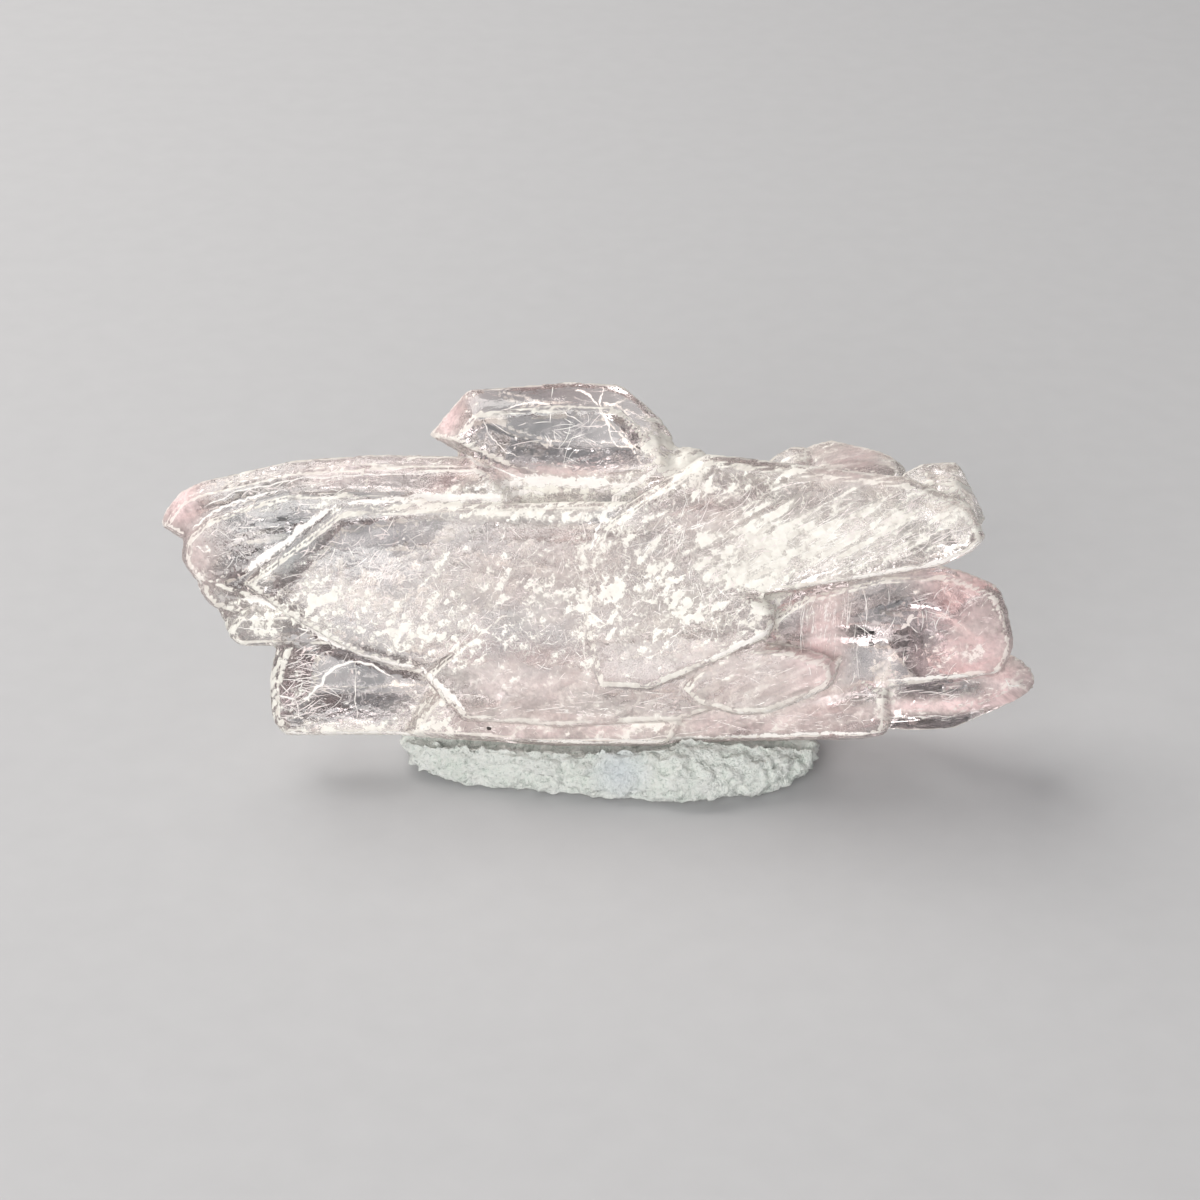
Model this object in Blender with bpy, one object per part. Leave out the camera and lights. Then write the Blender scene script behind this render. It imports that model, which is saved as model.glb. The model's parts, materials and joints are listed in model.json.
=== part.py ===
"""A cluster of flattened rose quartz crystals, standing in a pressed roll of mineral putty.

Blender units are metres, +Z is up, and the origin is the middle of the putty's flat underside. The cluster is
laid out on its own board, in millimetres: u runs to the right, v runs up, and w comes towards the viewer. The
board leans back and stands on the putty. Each crystal is a flattened prism. Its outline is its widest section,
at the depth called middle, and from every side of the outline one flat face slopes in to the front and one to
the back. Thin plates of later growth lie on both broad faces.
"""

import math
import random
from typing import NamedTuple

import bmesh
import bpy
from mathutils import Matrix, Vector, noise

MM = 0.001
LEAN = math.radians(15)  # the cluster leans back from upright
FOOT_HEIGHT = 2.1  # the board's line v = 0, above the table
FOOT_FORWARD = 1.2  # the board's line v = 0, in front of the middle of the putty
GAP = 0.3  # between the quartz and the putty that it is pressed into

FRONT_SLOPE = 64  # between most crystals' broad fronts and the narrow faces beside them, in degrees
PRISM_SLOPE = 44  # the same on the pointed prism, which has wide side faces
BACK_SLOPE = 52
EDGE_CUT = 0.07  # how deep the worn edges of a crystal are cut back
SHARP = math.radians(24)  # faces that meet at less than this keep their edge
RAW_SIZE = 120.0  # the cube that every crystal is cut from

PLATE_RISE = 0.11  # how far a plate of later growth stands above the face under it
PLATE_INSET = 0.05  # how much further each plate's sides stay behind the crystal's own
PLATE_REACH = 0.45  # how far from the middle of the face its step may run, as a part of the way to a corner
PLATE_SLOPE = 50  # between the plate and its step, in degrees

PUTTY_WIDTH = 21.8
PUTTY_HEIGHT = 3.2
PUTTY_FRONT = 4.7  # half depth, from the middle to the front
PUTTY_BACK = 4.3
PUTTY_BULGE = 0.19  # the right end is fuller than the left by this part, and the left thinner
PUTTY_FLAT = 0.2  # the part of its height that is pressed flat against the table


class Crystal(NamedTuple):
    outline: list  # (u, v) corners, counterclockwise and convex
    back: float
    middle: float
    front: float
    turn_u: float = 0.0  # tilts, in degrees
    turn_v: float = 0.0
    front_plates: int = 0  # plates of later growth on the broad faces
    back_plates: int = 1
    slope: float = FRONT_SLOPE


CRYSTALS = {
    # the long left crystal, with the rough stepped end under it
    "left_blade": Crystal(
        [(-22.6, 11.0), (-21.2, 10.1), (-18.5, 9.0), (-5.5, 9.3), (-4.0, 12.4), (-6.3, 14.7), (-11.6, 14.8),
         (-15.7, 14.5), (-20.3, 13.4), (-21.4, 12.9), (-22.2, 11.9)],
        -2.2, 0.5, 1.4, 2, -2, 1, 2),
    "left_blade_face": Crystal(
        [(-21.5, 9.3), (-20.7, 8.1), (-18.1, 7.2), (-9.5, 7.7), (-6.5, 12.6), (-9.5, 13.2), (-13.0, 13.45),
         (-16.0, 13.3), (-17.8, 12.8), (-20.0, 12.0), (-21.3, 10.9)],
        -2.5, 0.9, 1.9, -1, -2),
    "left_step_upper": Crystal(
        [(-20.8, 8.1), (-20.4, 7.2), (-19.9, 6.8), (-17.6, 6.1), (-10.6, 6.4), (-10.5, 10.1), (-18.5, 10.1),
         (-20.6, 8.8)],
        -2.0, 0.5, 1.5, 3, 3, 1),
    "left_step_lower": Crystal(
        [(-20.0, 6.8), (-19.3, 5.5), (-15.6, 5.0), (-9.6, 5.0), (-9.5, 8.2), (-18.6, 8.2)],
        -2.3, 0.2, 1.1, -3, -2),
    "left_foot": Crystal(
        [(-19.5, 6.1), (-19.2, 5.3), (-18.7, 4.8), (-9.6, 4.6), (-9.0, 7.2), (-18.6, 7.2)],
        -1.4, 0.6, 1.5, 4, 2, 0, 0),
    "left_window": Crystal(
        [(-17.3, 1.4), (-17.1, 0.7), (-16.5, 0.0), (-4.6, -0.1), (-2.5, 3.0), (-7.0, 5.9), (-14.6, 6.1),
         (-16.4, 5.7), (-16.9, 4.9), (-17.3, 3.0)],
        -2.4, 0.3, 1.2, -1, 2, 1),
    # the clear crystal on top, and its broken right end
    "top_window": Crystal(
        [(-9.1, 15.5), (-7.6, 14.6), (-5.5, 13.6), (-3.5, 12.9), (-0.5, 12.7), (2.5, 12.9), (3.2, 15.0),
         (2.0, 16.8), (0.6, 18.0), (-2.1, 18.2), (-7.1, 17.9)],
        -3.1, -0.7, 1.1, 4, 3),
    "top_break": Crystal(
        [(-0.2, 14.8), (1.4, 12.8), (3.6, 13.6), (3.3, 15.3), (2.7, 16.2), (1.6, 17.2), (0.5, 17.5)],
        -2.6, -0.9, 0.7, -6, -5),
    "top_knob": Crystal(
        [(1.6, 13.0), (4.5, 12.8), (5.2, 14.1), (4.7, 14.8), (3.8, 15.0), (2.9, 14.8)],
        -2.2, -0.8, 0.5, 6, 4, 0, 0),
    "saddle": Crystal(
        [(-10.5, 12.2), (-6.5, 11.1), (2.5, 11.1), (6.5, 12.2), (5.5, 14.4), (-7.7, 14.5)],
        -2.7, -0.3, 0.9, 2, -1),
    # the broad middle
    "middle_plate": Crystal(
        [(-18.4, 8.5), (-16.3, 6.9), (-12.7, 4.7), (-9.5, 3.7), (-2.5, 2.5), (1.5, 3.0), (4.5, 5.1), (6.7, 7.6),
         (5.4, 11.7), (1.7, 12.8), (-9.3, 12.6), (-13.3, 12.4)],
        -2.4, 2.0, 2.6, 0, -1, 0, 2),
    "middle_ledge": Crystal(
        [(-16.0, 6.5), (-12.7, 4.6), (-10.9, 3.8), (-8.5, 3.5), (-2.5, 5.4), (-2.5, 9.5), (-13.4, 9.5)],
        -2.9, 1.3, 2.0, -2, 1),
    "middle_foot": Crystal(
        [(-9.6, 3.9), (-7.3, 1.4), (-2.5, 1.0), (3.5, 1.3), (7.6, 2.7), (7.5, 7.4), (-5.5, 7.4)],
        -3.2, 2.1, 2.75, -3, 1, 0, 2),
    # the white blade that rises to the right, and the lobe under it
    "white_blade": Crystal(
        [(-1.3, 9.8), (-1.0, 7.9), (2.5, 7.4), (9.5, 8.3), (16.2, 9.6), (17.8, 10.4), (18.5, 11.2), (17.6, 12.9),
         (14.5, 14.3), (4.6, 15.3), (-0.4, 11.9)],
        -1.2, 2.8, 3.5, 3, -4, 0, 2),
    "white_lobe": Crystal(
        [(-1.6, 6.8), (-0.7, 3.1), (2.0, 3.1), (5.5, 4.6), (7.9, 5.8), (8.3, 6.5), (8.2, 7.6), (4.4, 9.8),
         (-1.0, 9.6)],
        -0.6, 2.5, 3.2, -3, -4),
    "tongue": Crystal(
        [(3.3, 3.2), (4.3, 2.2), (6.4, 1.7), (7.9, 1.8), (9.6, 2.5), (10.9, 3.1), (11.4, 3.7), (11.4, 4.3),
         (11.0, 5.0), (9.0, 5.6), (6.6, 5.8), (4.4, 4.8)],
        0.0, 2.5, 3.3, -2, -4),
    "tongue_splinter": Crystal(
        [(9.5, 3.1), (11.2, 3.1), (11.7, 4.7), (11.5, 5.1)],
        1.2, 2.3, 3.0, 4, -6, 0, 0),
    # the small crystals behind the white blade, and its blunt end
    "crest_left": Crystal(
        [(7.5, 12.5), (11.0, 12.5), (11.0, 14.1), (9.8, 14.8), (9.0, 14.9), (7.8, 14.1)],
        -2.6, -1.0, 0.6, 4, 3, 0, 0),
    "crest_right": Crystal(
        [(9.1, 11.9), (14.6, 11.9), (15.0, 13.6), (14.4, 14.2), (13.5, 14.6), (11.1, 15.1), (10.0, 14.8),
         (9.3, 14.2)],
        -3.2, -1.3, 0.7, -3, -3, 1),
    "blade_end": Crystal(
        [(13.9, 11.0), (17.4, 10.0), (18.7, 11.5), (18.2, 12.7), (17.5, 14.0), (17.1, 14.5), (15.3, 14.4),
         (14.3, 13.9)],
        -0.9, 1.2, 2.7, -3, 4),
    # the pink crystals at the right
    "pink_block": Crystal(
        [(7.5, 6.8), (8.4, 3.4), (13.4, 2.5), (19.7, 3.3), (20.3, 4.4), (20.5, 5.1), (20.1, 6.7), (19.5, 8.0),
         (17.6, 8.9), (16.5, 9.2), (13.5, 9.1), (9.5, 8.1)],
        -2.8, 0.8, 1.7, 2, 3, 0, 2),
    "pink_tip": Crystal(
        [(12.7, 0.4), (14.0, 0.2), (15.8, 0.1), (17.5, 0.2), (19.1, 0.9), (20.4, 1.5), (21.4, 2.1), (21.8, 2.7),
         (21.4, 3.5), (20.4, 4.3), (12.7, 4.3)],
        -2.6, -0.1, 1.0, -2, 2, 0, 1, PRISM_SLOPE),
    # the base that stands on the putty
    "base_left": Crystal(
        [(-10.9, 0.1), (-2.5, -0.5), (2.6, -0.5), (3.4, -0.3), (4.6, 2.0), (3.5, 5.2), (-6.5, 5.2), (-9.6, 2.5)],
        -3.3, 0.7, 2.0, 1, 0, 1),
    "base_right": Crystal(
        [(1.5, -0.4), (12.7, -0.1), (14.0, 0.2), (14.3, 0.8), (14.3, 4.6), (13.4, 8.6), (7.5, 8.0), (4.5, 5.2)],
        -2.9, 0.7, 1.6, -1, -2, 1),
    # the crystals of the back
    "back_spine": Crystal(
        [(-17.9, 6.9), (-14.4, 3.7), (-6.7, 1.5), (4.7, 2.0), (6.7, 6.3), (4.1, 11.1), (-6.6, 12.6),
         (-14.2, 11.6)],
        -4.6, -3.1, -1.2, -3, 3, 0, 2),
    "back_rise": Crystal(
        [(-2.5, 8.5), (1.6, 4.3), (9.8, 4.3), (16.4, 7.4), (17.8, 10.6), (14.7, 12.4), (4.6, 12.7), (-1.0, 11.6)],
        -4.2, -2.7, -0.8, 4, -3, 0, 2),
    "back_foot": Crystal(
        [(-5.7, 1.1), (1.6, 0.1), (10.9, 0.1), (15.0, 0.8), (18.1, 2.2), (14.9, 5.9), (4.6, 6.4), (-3.6, 4.3)],
        -4.4, -2.5, -0.6, -5, -2, 0, 2),
    "back_needle": Crystal(
        [(-12.6, 9.4), (-11.9, 8.3), (4.2, 5.6), (6.9, 6.1), (6.2, 7.6), (-10.4, 10.6)],
        -5.3, -4.1, -2.6, 3, 4, 0, 0),
}

# the crystals that reach down into the putty
PRESSED_IN = ("left_window", "middle_foot", "base_left", "base_right", "tongue", "back_spine", "back_foot")


def flat_faces(shape, grow):
    """(point, outward normal) of every flat face of a crystal, with all of them moved out by grow."""
    planes = [(Vector((0, 0, shape.front)), Vector((0, 0, 1))), (Vector((0, 0, shape.back)), Vector((0, 0, -1)))]
    for start, end in zip(shape.outline, shape.outline[1:] + shape.outline[:1]):
        along = Vector((end[0] - start[0], end[1] - start[1], 0)).normalized()
        out = Vector((along.y, -along.x, 0))
        for slope, side in ((shape.slope, 1), (BACK_SLOPE, -1)):
            normal = out * math.sin(math.radians(slope)) + Vector((0, 0, side * math.cos(math.radians(slope))))
            planes.append((Vector((start[0], start[1], shape.middle)), normal))
    return [(point + normal * grow, normal) for point, normal in planes]


def cut_away(body, planes):
    """Cuts off what lies outside each plane and closes the cut with one flat face."""
    for point, normal in planes:
        cut = bmesh.ops.bisect_plane(
            body, geom=body.verts[:] + body.edges[:] + body.faces[:], dist=1e-4, plane_co=point, plane_no=normal,
            clear_outer=True)
        rim = [part for part in cut["geom_cut"] if isinstance(part, bmesh.types.BMEdge)]
        if len(rim) > 2:
            bmesh.ops.contextual_create(body, geom=rim)


def worn_edges(body):
    """A plane across every sharp edge, just inside it."""
    body.normal_update()
    planes = []
    for edge in body.edges:
        if len(edge.link_faces) == 2 and edge.calc_face_angle(0) > SHARP:
            normal = (edge.link_faces[0].normal + edge.link_faces[1].normal).normalized()
            planes.append(((edge.verts[0].co + edge.verts[1].co) / 2 - normal * EDGE_CUT, normal))
    return planes


def board_to_world():
    """From the board's u, v and w in millimetres to world metres."""
    upright = Matrix.Rotation(math.radians(90), 4, "X")
    lean = Matrix.Rotation(-LEAN, 4, "X")
    return Matrix.Scale(MM, 4) @ Matrix.Translation((0, -FOOT_FORWARD, FOOT_HEIGHT)) @ lean @ upright


def centre_of(outline):
    return Vector((sum(u for u, _ in outline), sum(v for _, v in outline), 0)) / len(outline)


def tilted(shape):
    """The small turn that a crystal has on the board, about its own middle."""
    centre = centre_of(shape.outline) + Vector((0, 0, shape.middle))
    turn = Matrix.Rotation(math.radians(shape.turn_u), 4, "X") @ Matrix.Rotation(math.radians(shape.turn_v), 4, "Y")
    return Matrix.Translation(centre) @ turn @ Matrix.Translation(-centre)


def made_object(name, body):
    bmesh.ops.recalc_face_normals(body, faces=body.faces)
    mesh = bpy.data.meshes.new(name)
    body.to_mesh(mesh)
    body.free()
    obj = bpy.data.objects.new(name, mesh)
    bpy.context.scene.collection.objects.link(obj)
    return obj


def crystal_body(name, shape, grow=0.0, worn=True, step=None):
    """One closed crystal in its place on the board, cut off at a step if it has one."""
    body = bmesh.new()
    bmesh.ops.create_cube(body, size=RAW_SIZE)
    cut_away(body, flat_faces(shape, grow) + ([step] if step else []))
    if worn:
        cut_away(body, worn_edges(body))
    body.transform(board_to_world() @ tilted(shape))
    return made_object(name, body)


def growth_plates(name, shape, dice):
    """Thin plates on both broad faces of a crystal. Each covers the face on one side of a step across it."""
    plates = []
    centre = centre_of(shape.outline)
    for side, count in ((1, shape.front_plates), (-1, shape.back_plates)):
        for level in range(1, count + 1):
            inset = PLATE_INSET * (len(plates) + 1)
            rise = PLATE_RISE * level + inset
            thick = shape._replace(front=shape.front + rise) if side > 0 else shape._replace(back=shape.back - rise)
            corner = Vector((*dice.choice(shape.outline), 0))
            place = centre.lerp(corner, dice.uniform(-PLATE_REACH, PLATE_REACH))
            place.z = shape.front if side > 0 else shape.back
            across = (corner - centre).normalized()
            slope = math.radians(PLATE_SLOPE)
            step = (place, across * math.sin(slope) + Vector((0, 0, side * math.cos(slope))))
            plates.append(crystal_body(f"{name}_plate", thick, -inset, False, step))
    return plates


def boolean(target, others, operation):
    """Joins others to target, or cuts them from it, all at once, and removes them."""
    tools = bpy.data.collections.new("tools")
    for other in others:
        tools.objects.link(other)
    modifier = target.modifiers.new(operation, "BOOLEAN")
    modifier.operation = operation
    modifier.solver = "EXACT"
    modifier.operand_type = "COLLECTION"
    modifier.collection = tools
    graph = bpy.context.evaluated_depsgraph_get()
    mesh = bpy.data.meshes.new_from_object(target.evaluated_get(graph))
    target.modifiers.clear()
    target.data = mesh
    for other in others:
        bpy.data.objects.remove(other)
    bpy.data.collections.remove(tools)


def material(name, colour, roughness, transmission=0.0):
    made = bpy.data.materials.new(name)
    made.use_nodes = True
    shader = made.node_tree.nodes["Principled BSDF"]
    shader.inputs["Base Color"].default_value = (*colour, 1)
    shader.inputs["Roughness"].default_value = roughness
    shader.inputs["Metallic"].default_value = 0.0
    shader.inputs["Transmission Weight"].default_value = transmission
    made.diffuse_color = (*colour, 1)
    return made


def fill_hollows(obj):
    """Fills the spaces that the crystals close off between them, which are the shells of negative volume."""
    body = bmesh.new()
    body.from_mesh(obj.data)
    unseen = set(body.verts)
    while unseen:
        shell = {unseen.pop()}
        edge_of_shell = list(shell)
        while edge_of_shell:
            vert = edge_of_shell.pop()
            near = {edge.other_vert(vert) for edge in vert.link_edges} - shell
            shell |= near
            edge_of_shell += near
        unseen -= shell
        faces = {face for vert in shell for face in vert.link_faces}
        volume = sum(face.calc_area() * face.normal.dot(face.calc_center_median()) for face in faces)
        if volume < 0:
            bmesh.ops.delete(body, geom=list(shell), context="VERTS")
    body.to_mesh(obj.data)
    body.free()


def finish(obj, name, look):
    obj.name = obj.data.name = name
    obj.data.materials.clear()
    obj.data.materials.append(look)


def quartz_cluster():
    dice = random.Random(7)
    parts = []
    for name, shape in CRYSTALS.items():
        parts.append(crystal_body(name, shape))
        parts += growth_plates(name, shape, dice)
    boolean(parts[0], parts[1:], "UNION")
    fill_hollows(parts[0])
    finish(parts[0], "quartz_cluster", material("rose_quartz", (0.93, 0.80, 0.80), 0.15, 0.8))


def putty_point(direction):
    """Where a point of a unit ball ends up when the putty is rolled and then pressed flat on the table."""
    x, y, z = (math.copysign(abs(c) ** power, c) for c, power in zip(direction, (0.72, 0.8, 0.75)))
    fuller = 1 + PUTTY_BULGE * math.tanh(2.2 * (x - 0.1))
    lumps = 0.35 * noise.noise(Vector((x * 3.1, y * 1.7, z * 1.3)))
    depth = (PUTTY_FRONT if y < 0 else PUTTY_BACK) * fuller + lumps
    height = (1 + z * (1 + 0.2 * lumps)) / 2
    height = max(0.0, height - PUTTY_FLAT) / (1 - PUTTY_FLAT)
    return Vector((x * PUTTY_WIDTH / 2, y * depth, height * PUTTY_HEIGHT))


def putty_base():
    body = bmesh.new()
    bmesh.ops.create_uvsphere(body, u_segments=36, v_segments=14, radius=1)
    for vert in body.verts:
        vert.co = putty_point(vert.co) * MM
    bmesh.ops.dissolve_limit(body, angle_limit=math.radians(0.5), verts=body.verts[:], edges=body.edges[:])
    putty = made_object("putty_base", body)
    prints = [crystal_body(name, CRYSTALS[name], grow=GAP, worn=False) for name in PRESSED_IN]
    boolean(putty, prints, "DIFFERENCE")
    finish(putty, "putty_base", material("mineral_putty", (0.60, 0.65, 0.60), 0.8))


def main():
    for obj in list(bpy.data.objects):
        bpy.data.objects.remove(obj)
    quartz_cluster()
    putty_base()


main()
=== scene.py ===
"""A rose quartz cluster standing in a pressed roll of mineral putty, finished for a studio picture.

The cluster is described on its own board, in millimetres: u runs to the right, v runs up and w comes
towards the viewer. The board leans back and stands on the putty. Everything else is in metres.
"""

import json
import math
import random

import bpy
import numpy as np
from mathutils import Euler, Matrix, Vector, noise
from mathutils.bvhtree import BVHTree

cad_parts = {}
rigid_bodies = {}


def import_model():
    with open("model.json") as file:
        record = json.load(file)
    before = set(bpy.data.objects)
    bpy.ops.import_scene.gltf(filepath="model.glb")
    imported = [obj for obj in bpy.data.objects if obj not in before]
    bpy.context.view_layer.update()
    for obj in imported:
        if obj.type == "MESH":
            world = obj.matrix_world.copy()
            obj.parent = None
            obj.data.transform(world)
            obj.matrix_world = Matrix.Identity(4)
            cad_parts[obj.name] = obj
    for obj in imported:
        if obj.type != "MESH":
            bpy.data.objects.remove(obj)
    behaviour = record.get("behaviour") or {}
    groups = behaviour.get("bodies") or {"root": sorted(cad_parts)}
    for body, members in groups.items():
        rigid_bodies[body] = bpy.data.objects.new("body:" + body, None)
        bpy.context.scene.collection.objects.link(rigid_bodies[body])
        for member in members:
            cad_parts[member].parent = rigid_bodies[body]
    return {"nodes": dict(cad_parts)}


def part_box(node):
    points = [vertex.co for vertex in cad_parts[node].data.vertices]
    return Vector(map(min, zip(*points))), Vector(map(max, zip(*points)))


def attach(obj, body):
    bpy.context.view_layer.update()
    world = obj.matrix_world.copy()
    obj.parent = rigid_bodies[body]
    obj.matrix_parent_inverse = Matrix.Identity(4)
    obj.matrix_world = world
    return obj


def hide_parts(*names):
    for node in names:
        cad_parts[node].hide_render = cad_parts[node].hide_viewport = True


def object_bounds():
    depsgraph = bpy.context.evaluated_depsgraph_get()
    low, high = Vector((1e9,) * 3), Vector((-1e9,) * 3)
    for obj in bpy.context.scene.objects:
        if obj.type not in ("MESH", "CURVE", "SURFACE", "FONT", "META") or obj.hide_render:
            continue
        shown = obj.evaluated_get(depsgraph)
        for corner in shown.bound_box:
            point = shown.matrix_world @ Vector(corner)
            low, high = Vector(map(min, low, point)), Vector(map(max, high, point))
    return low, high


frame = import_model()
CAD_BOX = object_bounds()

MM = 0.001
LEAN = math.radians(15)
FOOT_HEIGHT = 2.1
FOOT_FORWARD = 1.2

LENS = 85.0
SENSOR = 36.0
VIEW_WIDTH = 60.0 * MM  # what the camera takes in, at the cluster
VIEW_UP = math.radians(30)
AIM = (-0.5, 7.35, 1.0)  # on the board

QUARTZ_GRID = 0.175 * MM
PUTTY_GRID = 0.16 * MM
CRISP = math.radians(32)  # faces that meet at more than this keep their edge
PUTTY_CRISP = math.radians(60)
SKIN_LIFT = 0.012 * MM

CRUST_FROM = 0.2  # a face less frosted and worn (edge white partly a painted highlight) than this has no crust
EDGE_WEAR_AND_HIGHLIGHT_ADDS = 0.7  # what a fully worn edge adds to that, its white partly a painted edge highlight

# Layered noise: how much weaker and how many times finer each layer is
NOISE_FALL, NOISE_GAP = 0.9, 2.1

# How squarely a face looks out of the board, as a cosine, where it begins to be a wall and where it is one;
# walls get extra frost and milk, a painted glow standing for light shining through them
WALL_FROM, WALL_FULL = 0.45, 0.2
# How far a worn edge stands out from its neighbours, in grid widths, and over what more it turns fully worn;
# its white crust is partly wear and partly a painted edge highlight
EDGE_FROM, EDGE_SPAN = 0.02, 0.1

# Soft patches on the board: (u, v, half length, half width, turn in degrees, strength)
FROSTED = {
    "blade": (10.8, 11.4, 6.5, 2.0, 8, 0.9),
    "blade_heart": (8.0, 9.9, 2.4, 1.6, 30, 0.55),
    "blade_end": (17.2, 12.2, 1.4, 2.0, 0, 0.15),
    "blade_top": (5.2, 14.2, 3.2, 1.0, -10, 0.4),
    "blade_shade": (1.5, 11.0, 2.6, 2.2, 30, 0.25),
    "lobe": (4.2, 8.0, 2.6, 1.8, 0, 0.5),
    "lobe_rim": (7.0, 6.7, 1.8, 0.8, 35, 0.8),
    "seam": (-1.2, 7.8, 0.3, 4.2, 0, 0.35),
    "middle": (-4.5, 7.8, 5.2, 3.2, 0, 0.34),
    "middle_right": (0.6, 7.6, 2.6, 3.2, 0, 0.25),
    "groove": (-4.3, 12.1, 4.5, 0.35, 0, 0.8),
    "middle_cream": (-10.8, 6.3, 3.6, 1.4, -25, 0.52),
    "middle_left": (-14.5, 7.8, 2.0, 1.4, -35, 0.42),
    "middle_flash": (-8.3, 9.8, 0.9, 0.4, 50, 0.8),
    "middle_edge": (-10.0, 12.5, 3.6, 0.3, 1, 0.7),
    "saddle": (-2.8, 13.1, 4.4, 0.45, 0, 0.85),
    "left_edge": (-20.2, 9.2, 0.9, 2.0, -20, 0.3),
    "left_steps": (-18.0, 6.2, 2.0, 0.9, 0, 0.5),
    "left_band": (-14.0, 14.0, 5.5, 0.6, 3, 0.2),
    "window_edge": (-17.0, 3.0, 0.35, 2.6, 0, 0.6),
    "window_left": (-15.6, 2.6, 1.2, 1.8, 0, 0.2),
    "window_foot": (-13.5, 0.3, 3.8, 0.4, 0, 1.3),
    "top_end": (2.4, 15.3, 0.9, 1.4, 30, 0.55),
    "top_foot": (-2.0, 13.6, 3.5, 0.3, 2, 0.3),
    "knob": (4.2, 14.3, 1.4, 0.8, -15, 0.8),
    "crest": (9.2, 14.5, 1.4, 0.6, 10, 0.5),
    "tongue_rim": (9.3, 2.5, 2.6, 0.4, 25, 0.6),
    "tongue": (7.0, 3.8, 3.2, 1.4, 8, 0.12),
    "base": (-1.0, 0.9, 8.0, 0.8, 0, 0.36),
    "base_left": (-9.0, 1.8, 1.2, 1.6, 0, 0.6),
    "base_flake": (2.6, 1.3, 1.7, 0.5, 15, 0.6),
    "notch": (14.0, 2.4, 0.6, 1.3, 0, 0.65),
    "block_end": (17.5, 4.4, 2.2, 0.8, 15, 0.4),
}
PINK = {
    "left_tip": (-21.6, 12.3, 1.6, 1.3, 40, 1.0),
    "left_edge": (-20.8, 8.8, 1.2, 2.2, -20, 0.6),
    "left_band": (-13.0, 14.0, 6.0, 0.8, 3, 0.35),
    "top_tip": (-8.1, 16.5, 1.0, 1.7, -35, 0.95),
    "top_rim": (-2.5, 17.7, 3.5, 0.5, 0, 0.5),
    "top_foot": (-3.0, 13.9, 3.5, 0.5, 0, 0.7),
    "strip": (-8.0, 13.6, 1.8, 0.5, 32, 0.8),
    "block": (16.8, 7.0, 3.0, 2.6, 0, 0.95),
    "block_end": (18.0, 4.6, 2.4, 1.0, 10, 0.9),
    "block_left": (10.6, 5.6, 1.4, 2.8, 0, 0.9),
    "tip": (20.4, 2.8, 1.4, 1.2, 0, 1.0),
    "tip_band": (16.8, 1.8, 3.4, 0.5, 0, 1.0),
    "tongue": (7.0, 3.8, 3.6, 1.8, 8, 0.22),
    "base_right": (8.0, 0.9, 6.0, 0.9, 0, 0.5),
    "base_left": (-4.0, 0.9, 6.5, 1.2, 0, 0.45),
    "base_middle": (-5.0, 3.4, 4.0, 1.2, 0, 0.4),
    "middle": (-3.0, 7.8, 5.0, 3.4, 0, 0.2),
    "blade": (4.0, 12.2, 3.0, 1.6, 20, 0.35),
    "crest": (11.8, 14.4, 2.2, 1.0, 0, 0.6),
}
MILKY = {
    "left_tip": (-21.5, 12.3, 1.6, 1.3, 40, 0.85),
    "left_edge": (-20.5, 9.2, 1.3, 2.2, -20, 0.55),
    "left_steps": (-17.5, 6.4, 2.6, 1.2, 0, 0.4),
    "left_window": (-17.5, 9.4, 2.4, 2.0, 30, 0.1),
    "left_band": (-14.0, 13.8, 6.5, 1.0, 3, 0.35),
    "slant": (-15.5, 10.2, 3.4, 0.7, 38, 0.35),
    "top_tip": (-8.2, 16.4, 1.0, 1.8, -35, 0.85),
    "top_foot": (-3.0, 13.7, 4.5, 0.6, 0, 0.45),
    "middle": (-4.0, 8.0, 7.0, 4.0, -5, 0.5),
    "middle_foot": (-4.5, 3.6, 4.5, 0.9, -5, 0.6),
    "groove": (-4.3, 12.1, 4.5, 0.4, 0, 0.8),
    "blade": (9.5, 11.5, 8.0, 2.8, 5, 0.5),
    "lobe": (4.0, 7.0, 3.5, 2.4, 20, 0.35),
    "tongue": (7.2, 3.8, 3.8, 1.8, 8, 0.5),
    "base": (-1.0, 1.2, 9.0, 1.4, 0, 0.8),
    "base_right": (10.0, 1.8, 4.0, 1.8, 0, 0.45),
    "block_left": (10.8, 5.8, 1.4, 3.0, 0, 0.6),
    "block_end": (18.2, 5.2, 2.2, 2.6, 20, 0.65),
    "block_top": (15.5, 8.6, 4.0, 0.7, 0, 0.45),
    "tip": (20.6, 2.9, 1.3, 1.4, 0, 0.8),
    "tip_band": (16.8, 1.8, 3.8, 0.45, 0, 1.0),
    "crest": (11.5, 14.5, 3.0, 0.8, 0, 0.45),
}
BRUSHED = {
    "blade": (10.5, 11.6, 9.0, 3.2, 6, 1.0),
    "tongue": (7.4, 3.8, 3.8, 1.8, 8, 1.0),
    "left_band": (-14.0, 12.5, 7.0, 2.0, 5, 0.4),
    "base": (1.0, 1.0, 14.0, 1.4, 0, 0.4),
}
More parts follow.
